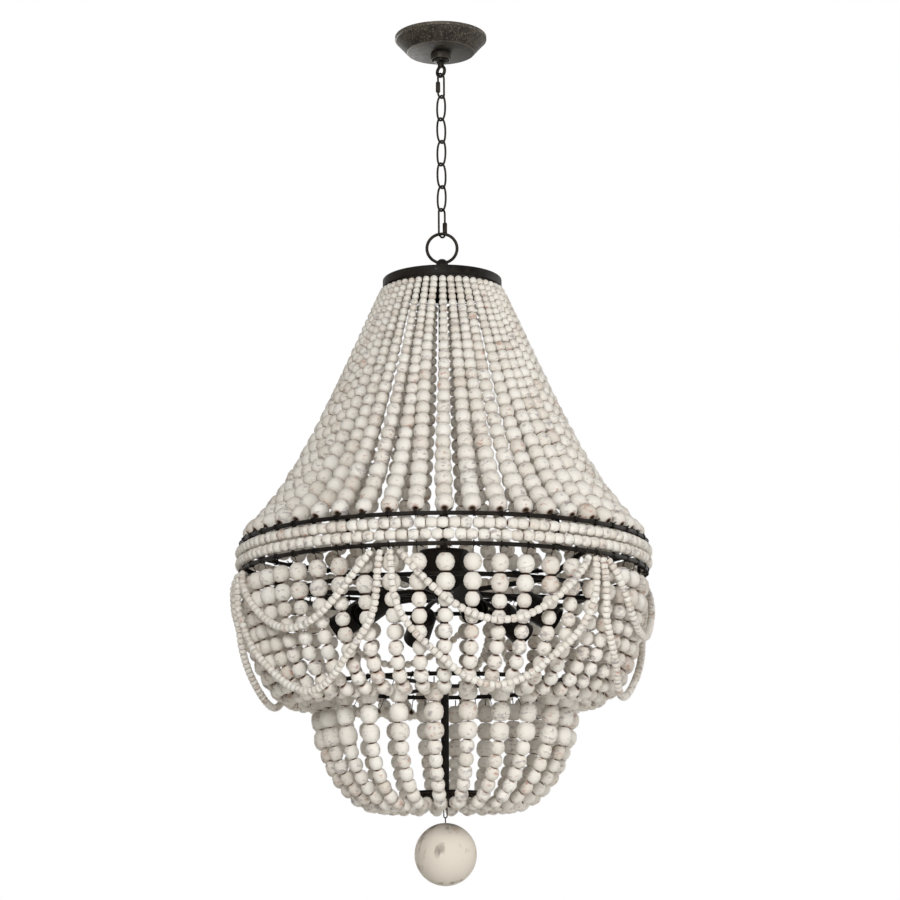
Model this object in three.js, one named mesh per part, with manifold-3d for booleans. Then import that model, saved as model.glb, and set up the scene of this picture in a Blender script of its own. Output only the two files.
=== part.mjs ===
// Beaded chandelier: an iron frame on a short chain, dressed with graded strings of wooden beads.
// Millimetres, +Z up. The origin is on the axis, in the ceiling plane, and the front is -Y.
// Pieces are drawn in the front plane as [radius, height] and turned to their azimuth,
// which counts in degrees from the front towards the right (+X).
import * as THREE from "three";
import { mergeVertices } from "three/addons/utils/BufferGeometryUtils.js";
import Module from "manifold-3d";

const wasm = await Module();
wasm.setup();

// Fits shared by all pieces
const fit = 0.3;
const overrun = 3;

// Ceiling plate, canopy and the loop that carries the chain
const barLength = 110;
const barWidth = 18;
const barThickness = 3;
const slotLength = 16;
const slotWidth = 5;
const slotCentre = 38;
const nippleRadius = 4.8;
const nippleBoreRadius = 3;
const nippleTop = -0.5;
const nippleBottom = -28;
const canopyRadius = 71;
const canopyFlange = 4;
const canopyLip = 5;
const canopyStep = 2.2;
const canopyFootRadius = 52;
const canopyDepth = 26;
const canopyWall = 1.5;
const canopyHoleRadius = 11.8;
const neckRadius = 11.3;
const neckTop = -16;
const neckBottom = -40;
const neckShoulder = 3;
const eyeShankRadius = 5;
const eyeRadius = 8;
const eyeWireRadius = 2.5;
const collarRadius = 15.5;
const collarHeight = 11;
const collarBevel = 1.5;

// Chain
const firstSeat = -61;
const wireRadius = 1.6;
const topQuickPitch = 36;
const linkPitch = 36.3;
const lowerQuickPitch = 42;
const linkCount = 5;
const linkWidth = 20;
const quickLinkWidth = 16.2;
const sleeveRadius = 3.5;
const sleeveLength = 17;
const sleeveTravel = 6;
const chainTwist = 45;
const ringRadius = 23;
const ringWireRadius = 2.5;
const ringRise = 1.1;

// Crown and stem
const crownRadius = 90.5;
const crownTop = -389.5;
const crownDepth = 14;
const crownLip = 7.5;
const crownBevel = 1.2;
const crownWall = 1.5;
const knobRadius = 9.5;
const knobRoof = 3.5;
const knobPlay = 0.9;
const stemRadius = 6;
const stemTop = -380.5;
const stemBottom = -1175;

// Hoops and the two rows of beads between them
const hoopRadius = 300;
const hoopBar = 5.5;
const upperHoopZ = -800;
const lowerHoopZ = -842;
const postCount = 6;
const postAzimuth = -27;
const postThickness = 4;
const postWidth = 6;
const postTab = 1.2;
const bandRadius = hoopRadius + 2;
const bandBeadRadius = 8.05;
const bandDrop = 13;
const bandRowZs = [upperHoopZ - bandDrop, upperHoopZ - bandDrop - 2 * bandBeadRadius - fit];

// Wiring drum, lamp frame and sockets
const drumRadius = 38.5;
const drumTop = -807;
const drumBottom = -867;
const drumWall = 2.5;
const frameCollarRadius = 12;
const frameCollarHeight = 12;
const frameZ = -872.5;
const frameBarHeight = 7;
const frameBarWidth = 5;
const spokeCount = 6;
const spokeAzimuth = 41.75;
const lampRingRadius = 222;
const lampRingBar = 6;
const socketCount = 6;
const socketAzimuth = 15;
const socketTilt = 32;
const socketBaseRadius = 118;
const socketBaseZ = -887;
const socketRadius = 19.5;
const socketWall = 1.5;
const socketLength = 60;
const socketChamfer = 3.5;
const armRadius = 4;
const armBendRadius = 94;
const holderRadius = 15;
const holderBoreRadius = 13.4;
const holderBoreDepth = 30;
const holderSetback = 4;

// Lower ring, dish and finial
const lowerRingRadius = 181;
const lowerRingBar = 6;
const lowerRingZ = -1008;
const lowerSpokeCount = 3;
const lowerSpokeAzimuth = 90;
const lowerCollarRadius = 10;
const lowerCollarHeight = 12;
const dishRadius = 50;
const dishRim = -1162;
const dishFloor = 3;
const dishSlant = 4.5;
const dishWall = 1.5;
const coneRadius = 12;
const coneEdge = 2;
const coneTipRadius = 3.2;
const coneTip = -1182;
const tabThickness = 2;
const tabWidth = 6;
const tabBottom = -1188.2;
const tabHoleZ = -1184.9;
const tabHoleRadius = 1.7;

// Ball and its hanger
const hangerWireRadius = 0.9;
const hangerWidth = 6.6;
const hangerHeight = 17;
const hangerTail = 9;
const hangerShank = 18;
const ballRadius = 45.5;
const hangerFoot = tabHoleZ - hangerHeight + 2 * hangerWireRadius;
const ballZ = hangerFoot - hangerShank + hangerTail - ballRadius;

// Strings of beads
const hookRadius = 1.2;
const stringTie = 1.6;
const upperStringCount = 48;
const upperGroups = 4;
const upperPhase = 0.3;
const upperPitch = 7.46;
const upperInset = 2.2;
const upperDrop = 17.2;
const upperLanding = 4.1;
const upperStart = [crownRadius - upperInset, crownTop - upperDrop];
const upperEnd = [hoopRadius - 1, upperHoopZ + upperLanding];
const upperShares = [[0, 0], [0.2216, 0.2397], [0.5301, 0.7921], [1, 1]];
const middleStringCount = 48;
const middlePhase = 0.5;
const middleOutset = 5.6;
const middleDrop = 5;
const middleStart = [hoopRadius - 1, lowerHoopZ];
const middleEnd = [lowerRingRadius + middleOutset, lowerRingZ - middleDrop];
const middleShares = [
  [0, 0], [0.053, 0.082], [0.075, 0.187], [0.098, 0.357], [0.151, 0.573], [0.257, 0.807],
  [0.417, 0.982], [0.594, 1.082], [0.772, 1.111], [0.905, 1.076], [1, 1],
];
const lowerStringCount = 24;
const lowerGroups = 3;
const lowerPhase = -5;
const lowerPitch = 14.85;
const lowerDrop = 3.7;
const lowerOutset = 1.9;
const lowerRise = 4;
const lowerStart = [lowerRingRadius + fit, lowerRingZ - lowerDrop];
const lowerEnd = [dishRadius + lowerOutset, dishRim - lowerRise];
const lowerShares = [
  [0, 0], [-0.019, 0.082], [-0.023, 0.185], [-0.015, 0.327], [0.019, 0.508], [0.088, 0.69],
  [0.21, 0.877], [0.386, 1.032], [0.585, 1.116], [0.761, 1.116], [0.884, 1.071], [0.96, 1.026], [1, 1],
];

// Girth along a string: distance along it from its upper end, and the radius of the beads there.
// The last distance is the string's length, and the others keep their share of it.
const upperGirth = [
  [0, 5.4], [70, 6.4], [160, 9], [250, 10.6], [345, 12.5], [442, 12.8], [444, 1.2],
  [446.1, 1.2],
];
const middleGirth = [
  [0, 1.2], [18, 1.2], [21, 12.2], [66, 13.5], [78, 10.8], [120, 10.8], [158, 10.8], [192, 10.8],
  [222, 10.2], [224, 1.2], [257.3, 1.2],
];
const lowerGirth = [
  [0, 1.2], [9, 1.2], [12, 12.4], [50, 13.4], [92, 10.4], [140, 10], [185, 9.6], [222, 8.9],
  [245, 8.2], [247, 1.2], [262.6, 1.2],
];

// Swags hang in pairs from nodes on the lower hoop
const bayCount = 6;
const nodeAzimuth = -15;
const swagBeadRadius = 6.25;
const swagEndBeadRadius = 5.2;
const swagSeat = 0.9;
const swagHookDrop = 1;
const swagHookLength = 8;
const swagSteps = 10;
const swagHook = [hoopRadius + hoopBar / 2 + swagSeat, lowerHoopZ - swagHookDrop];
const swagTop = swagHook[1] - 7;
const upperSwagOffset = 19.8;
const upperSwagDepth = 96;
const lowerSwagOffset = 7;
const lowerSwagDepth = 182;

// Shares of the half span and of the depth, and how far out from the hoop the swag is there
const swags = [
  {
    name: "upper_swag",
    offset: upperSwagOffset,
    depth: upperSwagDepth,
    shares: [
      [1, 0, 7], [0.9, 0.19, 11.3], [0.8, 0.36, 11], [0.7, 0.51, 9.4], [0.6, 0.64, 6.4],
      [0.4, 0.84, 2], [0.2, 0.96, -0.4], [0, 1, -0.9],
    ],
  },
  {
    name: "lower_swag",
    offset: lowerSwagOffset,
    depth: lowerSwagDepth,
    shares: [
      [1, 0, 7.5], [0.985, 0.15, 11.6], [0.97, 0.3, 10.5], [0.93, 0.44, 4.6], [0.85, 0.56, -0.4],
      [0.72, 0.68, -7.4], [0.55, 0.8, -16.6], [0.35, 0.92, -27], [0.15, 0.985, -32.6], [0, 1, -34],
    ],
  },
];

// Flats round each kind of piece, and steps along a curve
const turnedSides = 24;
const crownSides = 30;
const socketSides = 12;
const smallSides = 12;
const wireSides = 6;
const beadSides = 4;
const bendSteps = 6;
const eyeSteps = 16;
const ringSteps = 20;
const hoopSteps = 48;
const rowSteps = 48;
const lesserRingSteps = 36;
const ballSides = 20;
const armSteps = 4;
const domeSteps = 4;
const routeDivisions = 400;

const fullTurn = 360;
const degrees = Math.PI / 180;
const mergeDistance = 1e-3;
const iron = { color: 0x2a2522, roughness: 0.62, metalness: 0.75 };
const wood = { color: 0xe9e3d8, roughness: 0.8, metalness: 0 };

const root = new THREE.Group();

function place(name, solid, look) {
  const mesh = new THREE.Mesh(geometryOf(solid), new THREE.MeshStandardMaterial(look));
  mesh.name = name;
  root.add(mesh);
}

// A closed geometry as a solid that can be joined and cut
function solidOf(geometry) {
  const bare = geometry.clone();
  bare.deleteAttribute("normal");
  bare.deleteAttribute("uv");
  const merged = mergeVertices(bare, mergeDistance);
  const points = merged.attributes.position.array;
  const corners = merged.index.array;
  const faces = [];
  let volume = 0;
  for (let i = 0; i < corners.length; i += 3) {
    const face = [corners[i], corners[i + 1], corners[i + 2]];
    if (new Set(face).size < face.length) continue;
    const [a, b, c] = face.map((corner) => new THREE.Vector3().fromArray(points, corner * 3));
    volume += a.dot(b.cross(c));
    faces.push(face);
  }
  const triVerts = new Uint32Array(faces.flatMap((face) => (volume < 0 ? face.reverse() : face)));
  return new wasm.Manifold(new wasm.Mesh({ numProp: 3, vertProperties: new Float32Array(points), triVerts }));
}

function geometryOf(solid) {
  const mesh = solid.getMesh();
  const geometry = new THREE.BufferGeometry();
  geometry.setAttribute("position", new THREE.BufferAttribute(new Float32Array(mesh.vertProperties), 3));
  geometry.setIndex(new THREE.BufferAttribute(new Uint32Array(mesh.triVerts), 1));
  geometry.computeVertexNormals();
  return geometry;
}

const joined = (solids) => wasm.Manifold.union(solids);

const turnTo = (solid, azimuth) => solid.rotate([0, 0, azimuth]);

// Azimuths spread evenly over a turn
const spread = (count, first) => Array.from({ length: count }, (_, i) => first + (i * fullTurn) / count);

function polar(radius, azimuth, z) {
  const a = azimuth * degrees;
  return new THREE.Vector3(radius * Math.sin(a), -radius * Math.cos(a), z);
}

// A body turned about Z from a closed outline of [radius, height] pairs
function turned(outline, sides = turnedSides) {
  const points = [...outline, outline[0]].map(([r, z]) => new THREE.Vector2(r, z));
  return solidOf(new THREE.LatheGeometry(points, sides).rotateX(Math.PI / 2));
}

function rod(radius, top, bottom, sides = smallSides) {
  return turned([[0, bottom], [radius, bottom], [radius, top], [0, top]], sides);
}

function tube(radius, boreRadius, top, bottom, sides = smallSides) {
  return turned([[boreRadius, bottom], [radius, bottom], [radius, top], [boreRadius, top]], sides);
}

// A level hoop with a square bar
function hoop(radius, bar, z, sides) {
  return tube(radius + bar / 2, radius - bar / 2, z + bar / 2, z - bar / 2, sides);
}

function box(width, depth, height, x, y, z) {
  return solidOf(new THREE.BoxGeometry(width, depth, height)).translate([x, y, z]);
}

// A flat plate standing in the front plane, from an outline of [radius, height] pairs
function plate(outline, thickness) {
  const shape = new THREE.Shape(outline.map(([r, z]) => new THREE.Vector2(r, z)));
  const slab = new THREE.ExtrudeGeometry(shape, { depth: thickness, bevelEnabled: false });
  const outwards = new THREE.Vector3(0, -1, 0);
  const upwards = new THREE.Vector3(0, 0, 1);
  const sideways = new THREE.Vector3(-1, 0, 0);
  slab.translate(0, 0, -thickness / 2);
  slab.applyMatrix4(new THREE.Matrix4().makeBasis(outwards, upwards, sideways));
  return solidOf(slab);
}

// A skin through rings of corners, closed on itself or capped at both ends
function loft(rings, isLoop = false) {
  const sides = rings[0].length;
  const faces = [];
  const spans = isLoop ? rings.length : rings.length - 1;
  for (let i = 0; i < spans; i++) {
    const a = i * sides;
    const b = ((i + 1) % rings.length) * sides;
    for (let j = 0; j < sides; j++) {
      const k = (j + 1) % sides;
      faces.push(a + j, a + k, b + k, a + j, b + k, b + j);
    }
  }
  if (!isLoop) {
    const last = (rings.length - 1) * sides;
    for (let j = 1; j < sides - 1; j++) faces.push(0, j + 1, j, last, last + j, last + j + 1);
  }
  const geometry = new THREE.BufferGeometry();
  const positions = rings.flat().flatMap((p) => p.toArray());
  geometry.setAttribute("position", new THREE.Float32BufferAttribute(positions, 3));
  geometry.setIndex(faces);
  return solidOf(geometry);
}

// One ring of a loft, with a corner on the side vector, square to the tangent
function sectionRing(centre, tangent, side, radius, sides) {
  const across = side.clone().addScaledVector(tangent, -side.dot(tangent)).normalize();
  const outwards = tangent.clone().cross(across);
  return Array.from({ length: sides }, (_, i) => {
    const a = (i / sides) * 2 * Math.PI;
    const corner = centre.clone().addScaledVector(across, radius * Math.cos(a));
    return corner.addScaledVector(outwards, radius * Math.sin(a));
  });
}

// An oblong ring of wire in the plane y = 0: two round bends and straight legs, its top at z = 0
function oblongWire(width, height, radius) {
  const bend = width / 2;
  const side = new THREE.Vector3(0, 1, 0);
  const rings = [0, 1].flatMap((half) =>
    Array.from({ length: bendSteps + 1 }, (_, i) => {
      const a = Math.PI * (half + i / bendSteps);
      const drop = bend + half * (height - width);
      const centre = new THREE.Vector3(bend * Math.cos(a), 0, bend * Math.sin(a) - drop);
      return sectionRing(centre, new THREE.Vector3(-Math.sin(a), 0, Math.cos(a)), side, radius, wireSides);
    }));
  return loft(rings, true);
}

// An upright ring of wire facing the front
function uprightRing(radius, wire, centreZ, steps, sides = wireSides) {
  const torus = new THREE.TorusGeometry(radius, wire, sides, steps);
  return solidOf(torus.rotateX(Math.PI / 2)).translate([0, 0, centreZ]);
}

// Ceiling parts
function crossbar() {
  const hole = rod(nippleRadius + fit, overrun, -barThickness - overrun);
  const slotHeight = barThickness + 2 * overrun;
  const slots = [-1, 1].map((side) =>
    box(slotLength, slotWidth, slotHeight, side * slotCentre, 0, -barThickness / 2));
  const bar = box(barLength, barWidth, barThickness, 0, 0, -barThickness / 2);
  return bar.subtract(joined([hole, ...slots]));
}

function canopy() {
  const stepRadius = canopyRadius - canopyStep;
  const stepZ = -canopyLip - canopyStep / 2;
  return turned([
    [canopyHoleRadius, -canopyDepth],
    [canopyFootRadius, -canopyDepth],
    [stepRadius, stepZ],
    [canopyRadius, -canopyLip],
    [canopyRadius, 0],
    [canopyRadius - canopyFlange, 0],
    [canopyRadius - canopyFlange, -canopyWall],
    [stepRadius - canopyWall, -canopyLip + canopyWall / 2],
    [canopyFootRadius - canopyWall / 2, -canopyDepth + canopyWall],
    [canopyHoleRadius, -canopyDepth + canopyWall],
  ]);
}

function canopyCollar() {
  const top = -canopyDepth - fit;
  const bottom = top - collarHeight;
  return turned([
    [neckRadius + fit, bottom],
    [collarRadius - collarBevel, bottom],
    [collarRadius, bottom + collarBevel],
    [collarRadius, top - collarBevel],
    [collarRadius - collarBevel, top],
    [neckRadius + fit, top],
  ]);
}

function hangingLoop() {
  const eyeBottom = firstSeat - fit / 2 - eyeWireRadius;
  const eyeTop = eyeBottom + 2 * eyeRadius;
  const neck = turned([
    [nippleRadius + fit, nippleBottom - fit],
    [nippleRadius + fit, neckTop],
    [neckRadius, neckTop],
    [neckRadius, neckBottom],
    [eyeShankRadius, neckBottom - neckShoulder],
    [eyeShankRadius, eyeTop - eyeWireRadius / 2],
    [0, eyeTop - eyeWireRadius / 2],
    [0, nippleBottom - fit],
  ]);
  const eye = uprightRing(eyeRadius, eyeWireRadius, eyeTop - eyeRadius, eyeSteps);
  return neck.add(turnTo(eye, -chainTwist));
}

// Chain: each entry holds the two planes in which it touches its neighbours
const chain = [];
function hang(name, pitch) {
  const top = chain.length ? chain[chain.length - 1].bottom : firstSeat;
  const twist = chain.length % 2 ? -chainTwist : chainTwist;
  chain.push({ name, top, bottom: top - pitch, twist });
}
hang("top_quick_link", topQuickPitch);
for (let i = 1; i <= linkCount; i++) hang(`chain_link_${i}`, linkPitch);
hang("bottom_quick_link", lowerQuickPitch);
const lastSeat = chain[chain.length - 1].bottom;
const seatRise = wireRadius + fit / 2;

function chainLink({ top, bottom, twist }) {
  const height = top - bottom + 2 * seatRise;
  const loop = oblongWire(linkWidth - 2 * wireRadius, height, wireRadius);
  return turnTo(loop.translate([0, 0, top + seatRise]), twist);
}

// A quick link has a gate in one leg, just above the lower bend, closed by a threaded sleeve
const quickLegX = quickLinkWidth / 2 - wireRadius;
const sleeveBottom = ({ bottom }) => bottom - seatRise + quickLegX + 3 * fit;

function quickLink(link, side) {
  const { top, bottom, twist } = link;
  const height = top - bottom + 2 * seatRise;
  const loop = oblongWire(2 * quickLegX, height, wireRadius);
  const gateZ = sleeveBottom(link) + sleeveTravel / 2;
  const gate = box(4 * wireRadius, 4 * wireRadius, sleeveTravel - fit, side * quickLegX, 0, gateZ);
  return turnTo(loop.translate([0, 0, top + seatRise]).subtract(gate), twist);
}

function linkSleeve(link, side) {
  const bottom = sleeveBottom(link);
  const barrel = tube(sleeveRadius, wireRadius + 1.5 * fit, bottom + sleeveLength, bottom, wireSides + 2);
  return turnTo(barrel.translate([side * quickLegX, 0, 0]), link.twist);
}

// Suspension ring and crown
const ringTop = lastSeat + fit / 2 + ringWireRadius + ringRise;
const ringCentre = ringTop - ringRadius;
const ringBottom = ringCentre - ringRadius;

function crownKnob() {
  const roof = ringBottom + ringWireRadius + fit + knobRoof;
  const foot = crownTop + fit;
  const dome = Array.from({ length: domeSteps }, (_, i) => {
    const a = (i / domeSteps) * (Math.PI / 2);
    return [knobRadius * Math.cos(a), roof - knobRadius + knobRadius * Math.sin(a)];
  });
  const body = turned([[0, foot], [knobRadius, foot], ...dome, [0, roof]], smallSides);
  const passageZ = ringCentre - knobPlay + fit;
  const passage = uprightRing(ringRadius, ringWireRadius + knobPlay, passageZ, ringSteps);
  const socket = rod(stemRadius + fit, stemTop + fit, foot - overrun);
  return body.subtract(passage).subtract(socket);
}

const crownBottom = crownTop - crownDepth;

function crownCap() {
  const inner = crownRadius - crownWall;
  return turned([
    [stemRadius + fit, crownTop - crownWall],
    [inner, crownTop - crownWall],
    [inner, crownBottom + crownWall],
    [crownRadius - crownLip, crownBottom + crownWall],
    [crownRadius - crownLip, crownBottom],
    [crownRadius, crownBottom],
    [crownRadius, crownTop - crownBevel],
    [crownRadius - crownBevel, crownTop],
    [stemRadius + fit, crownTop],
  ], crownSides);
}

// Hoops: posts stand inside the bead rows and hold the two hoops apart
const rowFlatShare = Math.cos(Math.PI / rowSteps);

function upperHoop() {
  const outer = (bandRadius - bandBeadRadius) * rowFlatShare - fit;
  const inner = outer - postThickness;
  const foot = lowerHoopZ + hoopBar / 2 + fit;
  const tabOuter = hoopRadius;
  const post = plate([
    [inner, upperHoopZ + hoopBar / 2],
    [tabOuter, upperHoopZ + hoopBar / 2],
    [tabOuter, upperHoopZ - hoopBar / 2],
    [outer, upperHoopZ - hoopBar / 2],
    [outer, foot + postTab],
    [tabOuter, foot + postTab],
    [tabOuter, foot],
    [inner, foot],
  ], postWidth);
  const posts = spread(postCount, postAzimuth).map((a) => turnTo(post, a));
  return joined([hoop(hoopRadius, hoopBar, upperHoopZ, hoopSteps), ...posts]);
}

const bandRow = (z) =>
  solidOf(new THREE.TorusGeometry(bandRadius, bandBeadRadius, beadSides, rowSteps)).translate([0, 0, z]);

// A point part of the way from one [radius, height] to another
function between(start, end, [radiusShare, heightShare]) {
  const r = start[0] + (end[0] - start[0]) * radiusShare;
  const z = start[1] + (end[1] - start[1]) * heightShare;
  return polar(r, 0, z);
}

// A string of beads along a line: its girth is given by distance from the upper end
function beadString(curve, girth) {
  curve.arcLengthDivisions = routeDivisions;
  const side = new THREE.Vector3(1, 0, 0);
  const drawnLength = girth[girth.length - 1][0];
  return loft(girth.map(([at, radius]) => {
    const share = at / drawnLength;
    return sectionRing(curve.getPointAt(share), curve.getTangentAt(share), side, radius, beadSides);
  }));
}

const sharedLine = (start, end, shares) =>
  new THREE.CatmullRomCurve3(shares.map((share) => between(start, end, share)), false, "centripetal");

function lowerHoop() {
  const string = beadString(sharedLine(middleStart, middleEnd, middleShares), middleGirth);
  const strings = spread(middleStringCount, middlePhase).map((a) => turnTo(string, a));
  return joined([hoop(hoopRadius, hoopBar, lowerHoopZ, hoopSteps), ...strings]);
}

// A group of strings tied side by side on a wire, at their crowded end
function stringGroup(string, group, groups, count, phase, pitch, [tieRadius, tieZ]) {
  const perGroup = count / groups;
  const middle = phase + (group * fullTurn) / groups + ((perGroup - 1) / 2) * (fullTurn / count);
  const azimuths = Array.from({ length: perGroup }, (_, i) => middle + (i - (perGroup - 1) / 2) * pitch);
  const half = stringTie / 2;
  const tie = loft(azimuths.map((a) => [
    polar(tieRadius - half, a, tieZ - half),
    polar(tieRadius + half, a, tieZ - half),
    polar(tieRadius + half, a, tieZ + half),
    polar(tieRadius - half, a, tieZ + half),
  ]));
  return joined([tie, ...azimuths.map((a) => turnTo(string, a))]);
}

// Wiring drum and lamp frame
function lampHub() {
  return turned([
    [stemRadius + fit, drumTop - drumWall],
    [drumRadius - drumWall, drumTop - drumWall],
    [drumRadius - drumWall, drumBottom],
    [drumRadius, drumBottom],
    [drumRadius, drumTop - drumWall],
    [drumRadius - drumWall, drumTop],
    [stemRadius + fit, drumTop],
  ]);
}

function lampFrame() {
  const collarTop = drumBottom - fit;
  const collar = rod(frameCollarRadius, collarTop, collarTop - frameCollarHeight);
  const half = frameBarHeight / 2;
  const end = (hoopRadius - hoopBar / 2) * rowFlatShare - fit;
  const spoke = plate([
    [0, frameZ - half],
    [lampRingRadius, frameZ - half],
    [end, lowerHoopZ - half],
    [end, lowerHoopZ + half],
    [lampRingRadius, frameZ + half],
    [0, frameZ + half],
  ], frameBarWidth);
  const spokes = spread(spokeCount, spokeAzimuth).map((a) => turnTo(spoke, a));
  const tilt = socketTilt * degrees;
  const armLine = new THREE.QuadraticBezierCurve3(
    polar(0, 0, frameZ),
    polar(armBendRadius, 0, frameZ),
    polar(socketBaseRadius - fit * Math.cos(tilt), 0, socketBaseZ + fit * Math.sin(tilt)),
  );
  const side = new THREE.Vector3(1, 0, 0);
  const arm = loft(Array.from({ length: armSteps + 1 }, (_, i) =>
    sectionRing(armLine.getPoint(i / armSteps), armLine.getTangent(i / armSteps), side, armRadius, wireSides)));
  const arms = spread(socketCount, socketAzimuth).map((a) => turnTo(arm, a));
  const ring = hoop(lampRingRadius, lampRingBar, frameZ, lesserRingSteps);
  const bore = rod(stemRadius + fit, collarTop + overrun, collarTop - frameCollarHeight - overrun);
  return joined([collar, ring, ...spokes, ...arms]).subtract(bore);
}

// Puts a piece drawn upwards from the origin on a socket's axis
function onSocketAxis(solid, azimuth) {
  return turnTo(solid.rotate([90 + socketTilt, 0, 0]).translate([0, -socketBaseRadius, socketBaseZ]), azimuth);
}

function lampSocket() {
  const inner = socketRadius - socketWall;
  return turned([
    [0, 0],
    [socketRadius - socketChamfer, 0],
    [socketRadius, socketChamfer],
    [socketRadius, socketLength],
    [inner, socketLength],
    [inner, socketChamfer + socketWall / 2],
    [inner - socketChamfer + socketWall / 2, socketWall],
    [0, socketWall],
  ], socketSides);
}

function lampHolder() {
  const foot = socketWall + fit;
  const mouth = socketLength - holderSetback;
  return turned([
    [0, foot],
    [holderRadius - fit, foot],
    [holderRadius, foot + fit],
    [holderRadius, mouth],
    [holderBoreRadius, mouth],
    [holderBoreRadius, mouth - holderBoreDepth],
    [0, mouth - holderBoreDepth],
  ], socketSides);
}

function lowerRing() {
  const ring = hoop(lowerRingRadius, lowerRingBar, lowerRingZ, lesserRingSteps);
  const half = lowerCollarHeight / 2;
  const collar = rod(lowerCollarRadius, lowerRingZ + half, lowerRingZ - half);
  const barHalf = lowerRingBar / 2;
  const spoke = plate([
    [0, lowerRingZ - barHalf],
    [lowerRingRadius, lowerRingZ - barHalf],
    [lowerRingRadius, lowerRingZ + barHalf],
    [0, lowerRingZ + barHalf],
  ], lowerRingBar);
  const spokes = spread(lowerSpokeCount, lowerSpokeAzimuth).map((a) => turnTo(spoke, a));
  const bore = rod(stemRadius + fit, lowerRingZ + half + overrun, lowerRingZ - half - overrun);
  return joined([ring, collar, ...spokes]).subtract(bore);
}

function bottomDish() {
  return turned([
    [stemRadius + fit, stemBottom],
    [dishRadius - dishSlant, stemBottom],
    [dishRadius, dishRim],
    [dishRadius - dishWall, dishRim],
    [dishRadius - dishSlant - dishWall, stemBottom + dishFloor],
    [stemRadius + fit, stemBottom + dishFloor],
  ]);
}

// Finial: a cone with a flat drilled tab
function finialCone() {
  const top = stemBottom - fit;
  const cone = turned([
    [0, coneTip],
    [coneTipRadius, coneTip],
    [coneRadius, top - coneEdge],
    [coneRadius, top],
    [0, top],
  ], smallSides);
  const tabTop = (top + coneTip) / 2;
  const tab = box(tabThickness, tabWidth, tabTop - tabBottom, 0, 0, (tabTop + tabBottom) / 2);
  const hole = rod(tabHoleRadius, tabWidth, -tabWidth).rotate([0, 90, 0]).translate([0, 0, tabHoleZ]);
  return cone.add(tab).subtract(hole);
}

function ballHanger() {
  const width = hangerWidth - 2 * hangerWireRadius;
  const height = hangerHeight - 2 * hangerWireRadius;
  const loop = oblongWire(width, height, hangerWireRadius);
  const shank = rod(hangerWireRadius, hangerFoot, hangerFoot - hangerShank, wireSides);
  return loop.translate([0, 0, tabHoleZ]).add(shank);
}

function ball() {
  const sphere = new THREE.SphereGeometry(ballRadius, ballSides, ballSides / 2).rotateX(Math.PI / 2);
  const top = ballZ + ballRadius;
  const hole = rod(hangerWireRadius + fit, top + overrun, top - hangerTail - fit, wireSides);
  return solidOf(sphere).translate([0, 0, ballZ]).subtract(hole);
}

// A swag hangs between two hooks, symmetrical about the middle of its bay
function swag({ offset, depth, shares }) {
  const halfSpan = fullTurn / bayCount / 2 - offset / swagHook[0] / degrees;
  const half = shares.map(([angle, drop, out]) => [angle * halfSpan, hoopRadius + out, swagTop - drop * depth]);
  const end = [halfSpan, ...swagHook];
  const right = [end, ...half].map(([angle, radius, z]) => polar(radius, angle, z));
  const left = [end, ...half.slice(0, -1)].map(([angle, radius, z]) => polar(radius, -angle, z));
  const curve = new THREE.CatmullRomCurve3([...right, ...left.reverse()], false, "centripetal");
  curve.arcLengthDivisions = routeDivisions;
  const length = curve.getLength();
  const beadStart = swagHookLength + fit;
  const stations = [[0, hookRadius], [swagHookLength, hookRadius]];
  for (let i = 0; i <= swagSteps; i++) {
    const isEnd = i === 0 || i === swagSteps;
    const at = beadStart + (i / swagSteps) * (length - 2 * beadStart);
    stations.push([at, isEnd ? swagEndBeadRadius : swagBeadRadius]);
  }
  stations.push([length - swagHookLength, hookRadius], [length, hookRadius]);
  const outwards = polar(1, 0, 0);
  return loft(stations.map(([at, radius]) => {
    const share = at / length;
    return sectionRing(curve.getPointAt(share), curve.getTangentAt(share), outwards, radius, beadSides);
  }));
}

// Build
place("mounting_crossbar", crossbar(), iron);
place("threaded_nipple", tube(nippleRadius, nippleBoreRadius, nippleTop, nippleBottom), iron);
place("canopy", canopy(), iron);
place("canopy_collar", canopyCollar(), iron);
place("hanging_loop", hangingLoop(), iron);
chain.forEach((link) => {
  const isQuick = link.name.includes("quick");
  const side = link.name.startsWith("top") ? -1 : 1;
  place(link.name, isQuick ? quickLink(link, side) : chainLink(link), iron);
  if (isQuick) place(link.name.replace("quick_link", "link_sleeve"), linkSleeve(link, side), iron);
});
place("suspension_ring", uprightRing(ringRadius, ringWireRadius, ringCentre, ringSteps), iron);
place("crown_eye", crownKnob(), iron);
place("crown_cap", crownCap(), iron);
place("centre_stem", rod(stemRadius, stemTop, stemBottom), iron);
place("upper_hoop", upperHoop(), iron);
place("lower_hoop", lowerHoop(), wood);
bandRowZs.forEach((z, i) => place(`band_row_${i + 1}`, bandRow(z), wood));
place("lamp_hub", lampHub(), iron);
place("lamp_frame", lampFrame(), iron);
spread(socketCount, socketAzimuth).forEach((azimuth, i) => {
  place(`lamp_socket_${i + 1}`, onSocketAxis(lampSocket(), azimuth), iron);
  place(`lamp_holder_${i + 1}`, onSocketAxis(lampHolder(), azimuth), iron);
});
place("second_ring", lowerRing(), iron);
place("bottom_dish", bottomDish(), iron);
place("finial_cone", finialCone(), iron);
place("ball_loop", ballHanger(), iron);
place("ball", ball(), wood);

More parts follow.
